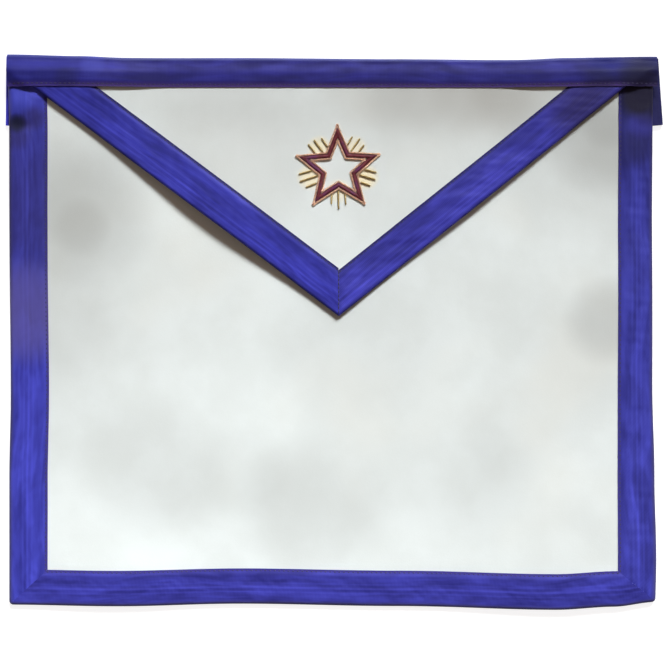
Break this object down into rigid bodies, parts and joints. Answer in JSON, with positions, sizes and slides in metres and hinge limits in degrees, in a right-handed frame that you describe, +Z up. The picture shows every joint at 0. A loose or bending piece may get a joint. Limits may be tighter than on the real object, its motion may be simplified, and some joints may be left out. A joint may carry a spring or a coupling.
{
  "type": "masonic apron",
  "caption": "White leather ceremonial waist apron bound with moire ribbon, with a triangular flap and an embroidered star, lying flat.",
  "frame": {"origin": "centre of the lying apron's outline, on the surface it lies on", "axes": "+X across the apron from its left to its right as seen from above, +Y towards the waist edge, +Z up"},
  "size_m": [0.4156, 0.3504, 0.0118],
  "materials": {
    "white_leather": "matt, fine grained",
    "blue_ribbon": "ribbed silk with a moire sheen",
    "crimson_thread": "padded satin stitch",
    "gold_wire": "twisted gilt embroidery wire"
  },
  "bodies": {
    "root": {"apron_panel": "white_leather", "side_ribbon_left": "blue_ribbon", "side_ribbon_right": "blue_ribbon", "bottom_ribbon": "blue_ribbon", "belt_tab_left": "blue_ribbon", "belt_tab_right": "blue_ribbon", "flap_panel": "white_leather", "flap_ribbon_left": "blue_ribbon", "flap_ribbon_right": "blue_ribbon", "waist_ribbon": "blue_ribbon", "star_band": "crimson_thread", "star_cord_outer": "gold_wire", "star_cord_inner": "gold_wire", "ray_1_left": "gold_wire", "ray_1_middle": "gold_wire", "ray_1_right": "gold_wire", "ray_2_left": "gold_wire", "ray_2_middle": "gold_wire", "ray_2_right": "gold_wire", "ray_3_left": "gold_wire", "ray_3_middle": "gold_wire", "ray_3_right": "gold_wire", "ray_4_left": "gold_wire", "ray_4_middle": "gold_wire", "ray_4_right": "gold_wire", "ray_5_left": "gold_wire", "ray_5_middle": "gold_wire", "ray_5_right": "gold_wire"}
  },
  "joints": []
}
